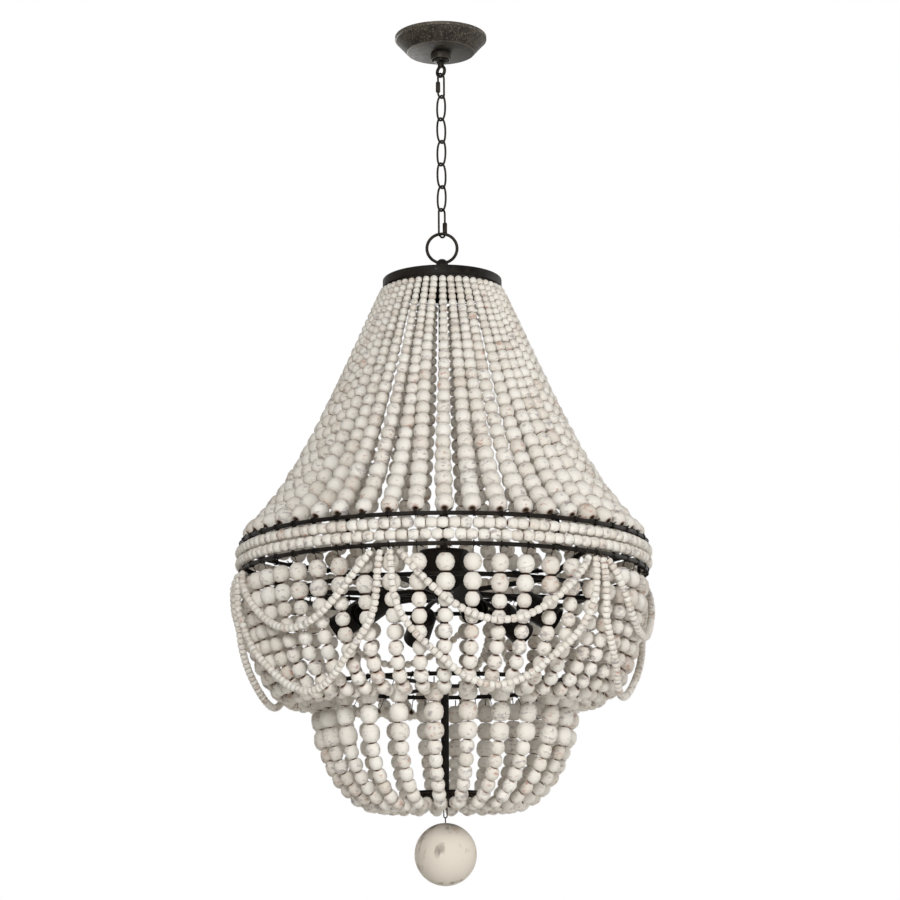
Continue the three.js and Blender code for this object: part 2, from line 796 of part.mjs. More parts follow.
const upperCurve = new THREE.CubicBezierCurve3(...upperShares.map((share) => between(upperStart, upperEnd, share)));
const upperString = beadString(upperCurve, upperGirth);
const upperTie = [upperStart[0], upperStart[1] - stringTie];
for (let i = 0; i < upperGroups; i++) {
  place(`upper_strands_${i + 1}`,
    stringGroup(upperString, i, upperGroups, upperStringCount, upperPhase, upperPitch, upperTie), wood);
}
const lowerString = beadString(sharedLine(lowerStart, lowerEnd, lowerShares), lowerGirth);
for (let i = 0; i < lowerGroups; i++) {
  place(`lower_strands_${i + 1}`,
    stringGroup(lowerString, i, lowerGroups, lowerStringCount, lowerPhase, lowerPitch, lowerEnd), wood);
}
const bayMiddle = nodeAzimuth + fullTurn / bayCount / 2;
swags.forEach((shape) => {
  spread(bayCount, bayMiddle).forEach((azimuth, i) => {
    place(`${shape.name}_${i + 1}`, turnTo(swag(shape), azimuth), wood);
  });
});

export default root;
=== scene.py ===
"""Beaded chandelier: strings of limewashed wooden beads on an aged iron frame."""
import math

import bpy
import numpy as np
from mathutils import Matrix, Vector


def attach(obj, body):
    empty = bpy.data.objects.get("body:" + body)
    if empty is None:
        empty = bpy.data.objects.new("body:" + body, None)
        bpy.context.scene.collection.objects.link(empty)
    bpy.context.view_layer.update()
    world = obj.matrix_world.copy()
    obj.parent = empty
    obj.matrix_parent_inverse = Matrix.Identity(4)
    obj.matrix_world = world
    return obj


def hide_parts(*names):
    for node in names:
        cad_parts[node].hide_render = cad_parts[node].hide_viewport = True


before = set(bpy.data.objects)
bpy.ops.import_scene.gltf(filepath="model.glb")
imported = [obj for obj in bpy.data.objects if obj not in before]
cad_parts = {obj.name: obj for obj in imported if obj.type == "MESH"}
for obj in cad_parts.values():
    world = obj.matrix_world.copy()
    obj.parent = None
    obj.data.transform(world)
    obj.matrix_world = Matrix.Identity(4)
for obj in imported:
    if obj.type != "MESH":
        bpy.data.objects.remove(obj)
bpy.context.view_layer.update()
bpy.ops.object.select_all(action="DESELECT")

MM = 0.001
rng = np.random.default_rng(20)

# Heights from the ceiling and distances from the axis, in mm
hoop_radius = 300
upper_hoop_z = -800
lower_hoop_z = -842
bar_half = 2.75
stem_bore = 6.3
stem_top = -380.5
stem_bottom = -1175
big_ring_radius = 23
big_ring_wire = 2.38
big_ring_bottom = -362.75
spoke_z = -872.5
lower_ring_radius = 181
lower_ring_z = -1008
strings_round_hoop = 48
swags_in_tier = 6
first_swag_azimuth = 15

# Radii of the wires, in mm
string_wire = 0.8
middle_string_wire = 0.6
swag_wire = 0.9
hook_wire = 0.9
binding_wire = 0.7
quick_link_wire = 1.55
chain_wire = 1.6
arm_tube = 3.8

# Camera: below the chandelier, far off, looking slightly up
camera_place = (0.0102, -3.6, -1.363)
camera_pitch = 101.151
camera_turn = -0.38
camera_data = bpy.data.cameras.new("camera")
camera_data.lens = 97.72
camera_data.sensor_width = 36
camera_data.clip_end = 50
camera = bpy.data.objects.new("camera", camera_data)
aim = Matrix.Rotation(math.radians(camera_pitch), 4, "X") @ Matrix.Rotation(math.radians(camera_turn), 4, "Z")
camera.matrix_world = Matrix.Translation(camera_place) @ aim
bpy.context.scene.collection.objects.link(camera)
bpy.context.scene.camera = camera


# Colours and nodes
def colour(hex_code):
    """An sRGB hex value as a linear colour."""
    channels = [int(hex_code[i:i + 2], 16) / 255 for i in (1, 3, 5)]
    return [c / 12.92 if c <= 0.04045 else ((c + 0.055) / 1.055) ** 2.4 for c in channels] + [1.0]


def add(tree, kind, inputs=None, **settings):
    """One node with its settings, its values and its links."""
    made = tree.nodes.new(kind)
    for name, value in settings.items():
        setattr(made, name, value)
    for name, value in (inputs or {}).items():
        socket = made.inputs[name]
        if isinstance(value, bpy.types.NodeSocket):
            tree.links.new(value, socket)
        else:
            socket.default_value = value
    return made


def calculate(tree, operation, *values):
    return add(tree, "ShaderNodeMath", dict(enumerate(values)), operation=operation).outputs[0]


def attribute(tree, name):
    return add(tree, "ShaderNodeAttribute", attribute_name=name).outputs["Fac"]


def per_mm(size):
    """A texture scale whose features are about this many millimetres across."""
    return 1 / (size * MM)


def noise(tree, place, size_mm, detail, roughness=0.5):
    settings = {"Vector": place, "Scale": per_mm(size_mm), "Detail": detail, "Roughness": roughness}
    return add(tree, "ShaderNodeTexNoise", settings).outputs["Fac"]


def ramp(tree, source, stops):
    """Colours or values, each at its position along the source."""
    made = add(tree, "ShaderNodeValToRGB", {"Fac": source})
    elements = made.color_ramp.elements
    while len(elements) < len(stops):
        elements.new(0.5)
    for element, (position, value) in zip(elements, stops):
        element.position = position
        element.color = colour(value) if isinstance(value, str) else (value, value, value, 1)
    return made.outputs["Color"]


def mixed(tree, mask, below, above):
    """One colour over another where the mask is white."""
    made = add(tree, "ShaderNodeMix", {"Factor": mask}, data_type="RGBA")
    first_colour, second_colour, mixed_colour = made.inputs[6], made.inputs[7], made.outputs[2]
    for socket, value in ((first_colour, below), (second_colour, above)):
        if isinstance(value, str):
            socket.default_value = colour(value)
        else:
            tree.links.new(value, socket)
    return mixed_colour


def new_material(name):
    made = bpy.data.materials.new(name)
    made.use_nodes = True
    return made, made.node_tree, made.node_tree.nodes["Principled BSDF"]


def roughen(tree, shader, height, deep):
    """Small relief in the surface, deep in metres."""
    bump = add(tree, "ShaderNodeBump", {"Height": height, "Strength": 0.3, "Distance": deep})
    tree.links.new(bump.outputs["Normal"], shader.inputs["Normal"])


# Materials
faint_sheen = 0.15


def limewashed(name, chalk, rubbed, bruise, crack, grain_mm, worn, checked, upright):
    """Turned mango wood under thin limewash, rubbed back by hand: chalky and nearly white, with
    pinkish wood where the wash is rubbed through, grey bruises, short dark checks and bare wood round
    the bore. Each bead has its own tone. Marks are lower than wide where upright is over 1."""
    material, tree, shader = new_material(name)
    place = add(tree, "ShaderNodeTexCoord").outputs["Object"]
    place = add(tree, "ShaderNodeMapping", {"Vector": place, "Scale": (1, 1, upright)}).outputs["Vector"]
    aside = add(tree, "ShaderNodeMapping", {"Vector": place, "Location": (0.31, 0.17, 0.53)}).outputs["Vector"]
    tone = attribute(tree, "tone")
    bore = attribute(tree, "bore")
    wash = ramp(tree, tone, [(0.0, chalk[0]), (0.5, chalk[1]), (1.0, chalk[2])])

    # Darker beads are rubbed through more
    rubs_with_tone = 0.16
    through = calculate(tree, "MULTIPLY_ADD", tone, rubs_with_tone, noise(tree, place, grain_mm, 5.0, 0.6))
    rub_mask = ramp(tree, through, [(worn, 0.0), (worn + 0.06, 0.35), (worn + 0.14, 0.8)])

    # Some beads, whatever their tone, have more bruises
    tone_shuffle = 7.3
    bruised_beads = 0.14
    odd = calculate(tree, "FRACT", calculate(tree, "MULTIPLY", tone, tone_shuffle))
    grey = calculate(tree, "MULTIPLY_ADD", odd, bruised_beads, noise(tree, aside, grain_mm * 0.9, 4.0))
    grey_mask = ramp(tree, grey, [(worn - 0.02, 0.0), (worn + 0.07, 0.5), (worn + 0.16, 0.8)])

    # Checks are thin lines, kept to a few places
    cells = add(tree, "ShaderNodeTexVoronoi", {"Vector": place, "Scale": per_mm(grain_mm)},
                feature="DISTANCE_TO_EDGE").outputs["Distance"]
    check_line = ramp(tree, cells, [(0.0, 0.75), (0.02, 0.4), (0.05, 0.0)])
    check_place = ramp(tree, noise(tree, aside, grain_mm * 1.3, 2.0), [(checked, 0.0), (checked + 0.09, 1.0)])
    check_mask = calculate(tree, "MULTIPLY", check_line, check_place)

    skin = mixed(tree, rub_mask, wash, rubbed)
    skin = mixed(tree, grey_mask, skin, bruise)
    skin = mixed(tree, check_mask, skin, crack)
    skin = mixed(tree, ramp(tree, bore, [(0.35, 0.0), (0.7, 0.5)]), skin, rubbed)
    skin = mixed(tree, ramp(tree, bore, [(0.6, 0.0), (0.85, 0.9)]), skin, crack)
    tree.links.new(skin, shader.inputs["Base Color"])
    shader.inputs["Roughness"].default_value = 0.8
    shader.inputs["Specular IOR Level"].default_value = faint_sheen
    check_depth = -0.7
    height = calculate(tree, "MULTIPLY_ADD", check_mask, check_depth, noise(tree, place, 1.5, 4.0))
    roughen(tree, shader, height, 0.001)
    return material


def aged_iron(name, dark, rub, fleck_and_edge_highlight, roughness, metallic, flecked, deep_mm=None):
    """Iron under a thin dark bronze paint, wiped by hand: low sheen, browner where the paint is thin,
    with small pale flecks where it has been rubbed through. A pressed dish, deep_mm deep, is flecked on
    its slope and along its edges. Its flat underside is kept darker as painted shade, and its edges have
    pale lines as painted highlights, both in place of reflections."""
    material, tree, shader = new_material(name)
    place = add(tree, "ShaderNodeTexCoord").outputs["Object"]
    broad = noise(tree, place, 12, 5.0)
    small = noise(tree, place, 2.6, 3.0)
    tint = ramp(tree, broad, [(0.4, dark), (0.66, rub)])
    flecks = ramp(tree, small, [(flecked, 0.0), (flecked + 0.06, 0.8)])
    if deep_mm:
        height = add(tree, "ShaderNodeSeparateXYZ", {"Vector": place}).outputs["Z"]
        rise = add(tree, "ShaderNodeMapRange",
                   {"Value": height, "From Min": -deep_mm * MM, "From Max": 0.0}).outputs[0]
        # Flecks on the slope, thickest along its edges; the flat underside gets hardly any, so it stays darker
        # as painted shade in place of reflections
        slope = ramp(tree, rise, [(0.0, 0.05), (0.02, 0.9), (0.08, 0.4), (0.6, 0.6), (0.72, 1.0)])
        flecks = calculate(tree, "MULTIPLY", flecks, slope)
        # Pale lines in the fleck colour along the lower edge and the rim: painted highlights in place of
        # reflections
        edges = ramp(tree, rise, [(0.0, 0.0), (0.02, 0.35), (0.06, 0.0), (0.72, 0.0), (0.8, 0.15)])
        tint = mixed(tree, edges, tint, fleck_and_edge_highlight)
    tree.links.new(mixed(tree, flecks, tint, fleck_and_edge_highlight), shader.inputs["Base Color"])
    sheen = ramp(tree, broad, [(0.3, roughness - 0.08), (0.7, roughness + 0.1)])
    tree.links.new(sheen, shader.inputs["Roughness"])
    shader.inputs["Metallic"].default_value = metallic
    shader.inputs["Specular IOR Level"].default_value = faint_sheen
    roughen(tree, shader, small, 0.0008)
    return material


# Small beads: chalk white, with short level streaks of pinkish wood and grey
bead_wood = limewashed(
    "limewashed mango wood", chalk=("#F1EEE7", "#EAE5DC", "#DDD5C9"), rubbed="#BE8D7C", bruise="#9D9497",
    crack="#54432F", grain_mm=11, worn=0.675, checked=0.62, upright=1.7)
# The ball: warmer, with a few large worn patches drawn out along the grain
ball_wood = limewashed(
    "limewashed mango wood ball", chalk=("#E9E2D8", "#E0D7CA", "#D4C8B9"), rubbed="#BFA28D",
    bruise="#74675F", crack="#4F423A", grain_mm=20, worn=0.67, checked=0.66, upright=0.45)
# Chain, links and ring: dark bronze with a low sheen
iron = aged_iron("dark bronze painted iron", "#1C1916", "#332D27", "#59524A",
                 roughness=0.5, metallic=0.6, flecked=0.66)
# Hoops, crown and lamp frame: nearly black, so that the beads stand out against them
frame_iron = aged_iron("nearly black painted frame iron", "#110F0D", "#241F1A", "#473F37",
                       roughness=0.52, metallic=0.5, flecked=0.67)
# Canopy: greyer bronze with pale flecks on the slope, its flat underside darker as painted shade and its edges
# with pale lines as painted highlights, in place of reflections
canopy_iron = aged_iron("rubbed bronze painted canopy", "#2D2A27", "#474239", "#857D71",
                        roughness=0.5, metallic=0.5, flecked=0.57, deep_mm=26)
# Binding wire: brown, darker than the wood round it
wire_iron = aged_iron("annealed iron wire", "#2A231D", "#4A3B2F", "#6A5D50",
                      roughness=0.55, metallic=0.7, flecked=0.68)
# Lamp holders: plain black moulding
holder_black = aged_iron("phenolic lamp holder", "#171513", "#1E1B19", "#2E2A27",
                         roughness=0.42, metallic=0.0, flecked=0.7)


# Making pieces
def activate(piece):
    bpy.ops.object.select_all(action="DESELECT")
    piece.select_set(True)
    bpy.context.view_layer.objects.active = piece


def linked(name, data):
    """A new object in the scene, selected and active."""
    piece = bpy.data.objects.new(name, data)
    bpy.context.scene.collection.objects.link(piece)
    activate(piece)
    return piece


def finish(piece, material, body, nodes, smooth=35):
    """Gives a piece its material, its smooth faces and the body that it moves with."""
    piece.data.materials.clear()
    piece.data.materials.append(material)
    activate(piece)
    bpy.ops.object.transform_apply(location=True, rotation=True, scale=True)
    bpy.ops.object.shade_smooth_by_angle(angle=math.radians(smooth))
    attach(piece, body)
    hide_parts(*nodes)


def join(name, pieces):
    """Several meshes as one piece."""
    bpy.ops.object.select_all(action="DESELECT")
    for piece in pieces:
        piece.select_set(True)
    bpy.context.view_layer.objects.active = pieces[0]
    bpy.ops.object.transform_apply(location=True, rotation=True, scale=True)
    bpy.ops.object.join()
    pieces[0].name = name
    return pieces[0]


def spun(name, outline, steps, weld):
    """A closed outline of (radius, height) spun about the vertical axis."""
    mesh = bpy.data.meshes.new(name)
    edges = [(i, (i + 1) % len(outline)) for i in range(len(outline))]
    mesh.from_pydata([(r, 0, z) for r, z in outline], edges, [])
    piece = linked(name, mesh)
    bpy.ops.object.mode_set(mode="EDIT")
    bpy.ops.mesh.select_all(action="SELECT")
    bpy.ops.mesh.spin(steps=steps, angle=math.tau, center=(0, 0, 0), axis=(0, 0, 1))
    bpy.ops.mesh.select_all(action="SELECT")
    bpy.ops.mesh.remove_doubles(threshold=weld)
    bpy.ops.mesh.normals_make_consistent(inside=False)
    bpy.ops.object.mode_set(mode="OBJECT")
    return piece


def turned(name, outline, steps):
    """A piece turned about the axis, from an outline in mm."""
    return spun(name, [(r * MM, z * MM) for r, z in outline], steps, 1e-6)


def rounded(outline, radius, steps):
    """An outline with each corner rounded to a radius in mm, apart from those on the axis."""
    made = []
    count = len(outline)
    for i, corner in enumerate(outline):
        here = Vector((*corner, 0))
        if here.x < 1e-6:
            made.append(tuple(corner))
            continue
        before = Vector((*outline[i - 1], 0)) - here
        after = Vector((*outline[(i + 1) % count], 0)) - here
        reach = min(radius, before.length * 0.45, after.length * 0.45)
        first = here + before.normalized() * reach
        last = here + after.normalized() * reach
        for k in range(steps + 1):
            t = k / steps
            point = first * (1 - t) ** 2 + here * 2 * t * (1 - t) + last * t ** 2
            made.append((point.x, point.y))
    return made


def wire(name, points, radius, cyclic=False, sides=6):
    """A bent wire through points in mm."""
    data = bpy.data.curves.new(name, "CURVE")
    data.dimensions = "3D"
    data.bevel_depth = radius * MM
    data.bevel_resolution = sides
    data.use_fill_caps = not cyclic
    spline = data.splines.new("POLY")
    spline.points.add(len(points) - 1)
    for target, point in zip(spline.points, points):
        target.co = (*(Vector(point) * MM), 1)
    spline.use_cyclic_u = cyclic
    linked(name, data)
    bpy.ops.object.convert(target="MESH")
    return bpy.context.view_layer.objects.active


def bar(name, size, place, azimuth=0.0, tilt=0.0, bevel=0.6):
    """A forged bar: a block of (radial, tangential, upright) mm, its edges eased."""
    bpy.ops.object.select_all(action="DESELECT")
    bpy.ops.mesh.primitive_cube_add(size=1)
    piece = bpy.context.active_object
    piece.name = name
    turn = Matrix.Rotation(math.radians(azimuth - 90), 4, "Z")
    lean = Matrix.Rotation(math.radians(-tilt), 4, "Y")
    scale = Matrix.Diagonal((size[0] * MM, size[1] * MM, size[2] * MM, 1))
    shift = Matrix.Translation(Vector(place) * MM)
    piece.data.transform(turn @ shift @ lean @ scale)
    eased = piece.modifiers.new("eased", "BEVEL")
    eased.width = bevel * MM
    eased.segments = 2
    bpy.ops.object.modifier_apply(modifier="eased")
    return piece


def upright_ring(radius, wire_radius, z, segments, sides, azimuth=0):
    """A ring of round wire that stands upright on the axis."""
    bpy.ops.object.select_all(action="DESELECT")
    bpy.ops.mesh.primitive_torus_add(
        major_radius=radius * MM, minor_radius=wire_radius * MM, major_segments=segments, minor_segments=sides,
        location=(0, 0, z * MM), rotation=(math.pi / 2, 0, math.radians(azimuth)))
    return bpy.context.active_object


def cut(piece, cutter):
    """Takes the cutter's shape out of a piece."""
    activate(piece)
    hole = piece.modifiers.new("hole", "BOOLEAN")
    hole.operation = "DIFFERENCE"
    hole.object = cutter
    bpy.ops.object.modifier_apply(modifier="hole")
    bpy.data.objects.remove(cutter)


def turn_mesh(piece, azimuth, lift=0.0):
    turn = Matrix.Rotation(math.radians(azimuth), 4, "Z")
    piece.data.transform(Matrix.Translation((0, 0, lift * MM)) @ turn)
    return piece


# Points and lines
def polar(radius, azimuth, z):
    """A point in mm, with its azimuth counted from the front towards the right."""
    a = math.radians(azimuth)
    return Vector((radius * math.sin(a), -radius * math.cos(a), z))


def spread(count, first):
    """Azimuths all round, evenly apart."""
    return [first + i * 360 / count for i in range(count)]


def group_azimuths(groups, count, phase, pitch):
    """The azimuths of the strings of each group, pitch apart in a group."""
    per_group = count // groups
    middle_of_group = (per_group - 1) / 2
    middles = [phase + group * 360 / groups + middle_of_group * 360 / count for group in range(groups)]
    return [[middle + (i - middle_of_group) * pitch for i in range(per_group)] for middle in middles]


def turned_points(points, azimuth):
    spin = Matrix.Rotation(math.radians(azimuth), 3, "Z")
    return [tuple(spin @ Vector(p)) for p in points]


class Route:
    """A line that gives the point and direction at any distance along it, in mm."""

    def __init__(self, points):
        self.points = np.array([list(p) for p in points])
        steps = np.linalg.norm(np.diff(self.points, axis=0), axis=1)
        self.along = np.concatenate([[0], np.cumsum(steps)])
        self.length = float(self.along[-1])

    def at(self, distance):
        return np.array([np.interp(distance, self.along, self.points[:, k]) for k in range(3)])

    def direction(self, distance):
        step = self.at(min(self.length, distance + 0.5)) - self.at(max(0, distance - 0.5))
        return step / np.linalg.norm(step)

    def stretch(self, start, end, step):
        count = max(2, int((end - start) / step) + 1)
        return [tuple(self.at(s)) for s in np.linspace(start, end, count)]


def bezier(points, count=120):
    """A curve in the front plane, from four (radius, height) points."""
    a, b, c, d = (np.array([0, -r, z]) for r, z in points)
    return Route([a * (1 - t) ** 3 + b * 3 * t * (1 - t) ** 2 + c * 3 * t ** 2 * (1 - t) + d * t ** 3
                  for t in np.linspace(0, 1, count)])


def smooth_line(points, per_span=24):
    """A smooth line through points, however unevenly they are spaced."""
    knots = [2 * points[0] - points[1], *points, 2 * points[-1] - points[-2]]
    line = []
    for i in range(1, len(knots) - 2):
        p0, p1, p2, p3 = knots[i - 1:i + 3]
        d0, d1, d2 = (max(1e-6, (b - a).length) ** 0.5 for a, b in ((p0, p1), (p1, p2), (p2, p3)))
        t1 = ((p1 - p0) / d0 - (p2 - p0) / (d0 + d1) + (p2 - p1) / d1) * d1
        t2 = ((p2 - p1) / d1 - (p3 - p1) / (d1 + d2) + (p3 - p2) / d2) * d1
        for k in range(per_span):
            t = k / per_span
            line.append(p1 * (2 * t ** 3 - 3 * t ** 2 + 1) + t1 * (t ** 3 - 2 * t ** 2 + t)
                        + p2 * (3 * t ** 2 - 2 * t ** 3) + t2 * (t ** 3 - t ** 2))
    line.append(points[-1])
    return Route(line)


def string_line(start, end, shares):
    """A string's line in the front plane, as shares of the way outwards and down from start to end."""
    return smooth_line([polar(start[0] + (end[0] - start[0]) * a, 0, start[1] + (end[1] - start[1]) * b)
                        for a, b in shares])


def swayed(route, azimuth, sway):
    """A string's own line: the shared line turned to its azimuth, leaning a little to either side."""
    first, second = rng.normal(0, 0.55, 2)
    line = []
    for along, point in zip(route.along, route.points):
        share = along / route.length
        bow = first * math.sin(math.pi * share ** 1.3) + 0.6 * second * math.sin(math.tau * share ** 1.2)
        radius = math.hypot(point[0], point[1])
        line.append(Matrix.Rotation(math.radians(azimuth) + sway * bow / radius, 3, "Z") @ Vector(point))
    return Route(line)


# Beads
def turned_bead(half):
    """A bead turned on a lathe, one wide, from the upper half of its outline as (radius, height)."""
    outline = half + [(r, -z) for r, z in reversed(half[:-1])]
    made = spun("bead", outline, 12, 1e-4)
    points = np.array([v.co[:] for v in made.data.vertices])
    faces = [tuple(p.vertices) for p in made.data.polygons]
    wear = np.interp(np.hypot(points[:, 0], points[:, 1]), [0.11, 0.31, 0.44], [1.0, 0.3, 0.0])
    bpy.data.objects.remove(made)
    return points, faces, wear


def beads(name, places, body, nodes, shape):
    """Beads at (centre, direction, diameter, length) as one piece, each with its own turn and tone."""
    loose_bore = 0.035
    narrowest = 0.96
    points, faces, tones, bores = [], [], [], []
    shape_points, shape_faces, wear = shape
    start = 0
    for centre, direction, girth, length in places:
        along = Vector(direction).normalized()
        turn = along.to_track_quat("Z", "Y").to_matrix() @ Matrix.Rotation(rng.uniform(0, math.tau), 3, "Z")
        lean = Matrix.Rotation(rng.normal(0, loose_bore), 3, "X")
        wide = girth * rng.uniform(narrowest, 1.0)
        shaped = shape_points * np.array([wide, wide, length])
        points.append((shaped @ np.array(turn @ lean).T + np.array(centre)) * MM)
        faces.extend(tuple(start + v for v in face) for face in shape_faces)
        tones.append(np.full(len(shaped), rng.beta(1.6, 2.4)))
        bores.append(wear)
        start += len(shaped)
    mesh = bpy.data.meshes.new(name)
    mesh.from_pydata(np.concatenate(points).tolist(), [], faces)
    for key, values in (("tone", tones), ("bore", bores)):
        layer = mesh.attributes.new(key, "FLOAT", "POINT")
        layer.data.foreach_set("value", np.concatenate(values).astype(np.float32))
    finish(linked(name, mesh), bead_wood, body, nodes, smooth=80)


def thread(route, start, sizes, lengths=None):
    """Where each bead sits when hand-turned beads of about these sizes are pushed together."""
    lengths = np.array(lengths or sizes, dtype=float)
    drawn = lengths * rng.uniform(0.95, 1.05, len(lengths))
    drawn *= lengths.sum() / drawn.sum()
    places = []
    for size, length in zip(sizes, drawn):
        middle = start + length / 2
        places.append((route.at(middle), route.direction(middle), size, length))
        start += length
    return places


def growing(stations, start, end):
    """Bead sizes that grow along a string, each string with its own small differences."""
    sizes = []
    at = start
    while at < end:
        size = np.interp(at, *zip(*stations)) * rng.uniform(0.95, 1.05)
        sizes.append(size)
        at += size
    return [size * (end - start) / sum(sizes) for size in sizes]


def graded(*runs):
    return [size for count, size in runs for _ in range(count)]


def hang_strings(name, node, route, azimuths, start, sizes, sway, core, shape, tie_at=None):
    """Strings side by side: their beads as one piece, and the wires inside them with the one that ties them."""
    lines = [swayed(route, a, sway) for a in azimuths]
    places = [p for line in lines for p in thread(line, start, sizes())]
    beads(f"{name}_beads", places, "fixture", [node], shape)
    wires = [wire("core", line.stretch(0.5, line.length, 12), core, sides=1) for line in lines]
    if tie_at:
        radius, z = tie_at
        across = [tuple(polar(radius, a, z)) for a in np.linspace(azimuths[0], azimuths[-1], 24)]
        wires.append(wire("tie", across, string_wire, sides=1))
    return wires


round_bead = turned_bead([(0.11, 0.47), (0.27, 0.425), (0.433, 0.25), (0.5, 0)])
tumbled_bead = turned_bead([(0.12, 0.48), (0.31, 0.453), (0.477, 0.27), (0.527, 0)])
barrel_bead = turned_bead([(0.13, 0.485), (0.35, 0.458), (0.47, 0.28), (0.5, 0)])


# Upper, lower and middle strings
upper_route = bezier([(88.3, -406.7), (135, -500), (200, -715), (299, -795.9)])
middle_route = string_line((299, -842), (186.6, -1013), [
    (0, 0), (0.053, 0.082), (0.075, 0.187), (0.098, 0.357), (0.151, 0.573), (0.257, 0.807),
    (0.417, 0.982), (0.594, 1.082), (0.772, 1.111), (0.905, 1.076), (1, 1)])
lower_route = string_line((181.5, -1011.7), (51.9, -1166), [
    (0, 0), (-0.019, 0.082), (-0.023, 0.185), (-0.015, 0.327), (0.019, 0.508), (0.088, 0.69),
    (0.21, 0.877), (0.386, 1.032), (0.585, 1.116), (0.761, 1.116), (0.884, 1.071), (0.96, 1.026), (1, 1)])
upper_run = 441
upper_growth = [(0, 10.8), (40, 11.6), (90, 13.4), (150, 17.2), (220, 20.2), (300, 23.2), (360, 25.6), (445, 26)]
middle_sizes = graded((2, 27), (3, 22), (4, 21.6), (1, 18))
lower_sizes = graded((3, 26.8), (3, 20), (2, 19.4), (1, 18.6), (1, 17.8), (1, 16.8))
upper_groups = group_azimuths(4, strings_round_hoop, phase=0.3, pitch=7.46)
lower_groups = group_azimuths(3, 24, phase=-5, pitch=14.85)
upper_azimuths = [azimuth for group in upper_groups for azimuth in group]
middle_azimuths = spread(strings_round_hoop, 0.5)

for i, azimuths in enumerate(upper_groups):
    node = f"upper_strands_{i + 1}"
    wires = hang_strings(node, node, upper_route, azimuths, start=1,
                         sizes=lambda: growing(upper_growth, 1, upper_run), sway=3.2, core=string_wire,
                         shape=tumbled_bead, tie_at=(87.6, -406))
    finish(join(f"{node}_wires", wires), wire_iron, "fixture", [node])
for i, azimuths in enumerate(lower_groups):
    node = f"lower_strands_{i + 1}"
    wires = hang_strings(node, node, lower_route, azimuths, start=9, sizes=lambda: lower_sizes,
                         sway=3, core=string_wire, shape=tumbled_bead, tie_at=(52, -1166))
    finish(join(f"{node}_wires", wires), wire_iron, "fixture", [node])
middle_wires = hang_strings("middle_strands", "lower_hoop", middle_route, middle_azimuths, start=12,
                            sizes=lambda: middle_sizes, sway=3, core=middle_string_wire, shape=round_bead)

# Rows of beads between the hoops
row_beads = 118
row_radius = 302
row_girth = 16.1
row_pitch = 15.9
row_stagger = 1.5
for row, row_z in enumerate((-813, -829.4)):
    places = []
    for azimuth in spread(row_beads, row * row_stagger):
        turn = math.radians(azimuth)
        girth = row_girth * rng.uniform(0.95, 1.0)
        centre = np.array(polar(row_radius, azimuth + rng.normal(0, 0.08), row_z + rng.normal(0, 0.15)))
        places.append((centre, np.array([math.cos(turn), math.sin(turn), 0]), girth, row_pitch))
    beads(f"band_row_{row + 1}_beads", places, "fixture", [f"band_row_{row + 1}"], barrel_bead)

# Swags: half the gap to the next swag's hook, depth, girth and length of a bead, and half of the line
# as (share of the half span, share of the depth, way out from the hoop)
swag_shapes = {
    "upper_swag": (19.8, 96, 11.5, 9.6, [
        (1, 0, 7), (0.9, 0.19, 11.3), (0.8, 0.36, 11), (0.7, 0.51, 9.4), (0.6, 0.64, 6.4),
        (0.4, 0.84, 2), (0.2, 0.96, -0.4), (0, 1, -0.9)]),
    "lower_swag": (7, 182, 11.6, 8.6, [
        (1, 0, 7.5), (0.985, 0.15, 11.6), (0.97, 0.3, 10.5), (0.93, 0.44, 4.6), (0.85, 0.56, -0.4),
        (0.72, 0.68, -7.4), (0.55, 0.8, -16.6), (0.35, 0.92, -27), (0.15, 0.985, -32.6), (0, 1, -34)]),
}
swag_hook = (303.65, -843)
swag_top = -850
bare_wire = 8.4
end_length = 8
end_girth = 10.2
for kind, (half_gap, depth, girth, length, shares) in swag_shapes.items():
    span = 180 / swags_in_tier - math.degrees(half_gap / swag_hook[0])
    half = [(angle * span, hoop_radius + out, swag_top - drop * depth) for angle, drop, out in shares]
    right = [(span, *swag_hook), *half]
    left = [(-a, r, z) for a, r, z in reversed(right[:-1])]
    route = smooth_line([polar(r, a, z) for a, r, z in right + left])
    beaded = route.length - 2 * bare_wire - 2 * end_length
    count = round(beaded / length)
    lengths = [end_length, *[beaded / count] * count, end_length]
    girths = [end_girth, *[girth] * count, end_girth]
    for i, azimuth in enumerate(spread(swags_in_tier, first_swag_azimuth)):
        node = f"{kind}_{i + 1}"
        line = swayed(route, azimuth, 0)
        beads(f"{node}_beads", thread(line, bare_wire, girths, lengths), node, [node], barrel_bead)
        core = wire(f"{node}_wire", line.stretch(0, line.length, 6), swag_wire, sides=1)
        finish(core, wire_iron, node, [node])


# Binding wires
def twisted_end(azimuth, z, climb):
    """The twisted end of a binding wire beside a string, bent along the hoop."""
    beside, run, coil, turning = 4.5, 5, binding_wire, 16
    path = [(beside + run * t + coil * math.sin(turning * t), -hoop_radius - 0.6 + coil * math.cos(turning * t),
             z + climb * t) for t in np.linspace(0, 1, 15)]
    return wire("twist", turned_points(path, azimuth), binding_wire, sides=1)


def bound(name, z, reach, angles, wire_radius, azimuths, lean=0.0):
    """A wire wound round a hoop at each azimuth, from its middle out to reach, leaning a little along it."""
    middle = 3
    path = [(lean * (a - middle), -hoop_radius - reach * math.cos(a), z + reach * math.sin(a)) for a in angles]
    return [wire(name, turned_points(path, azimuth), wire_radius, sides=1) for azimuth in azimuths]


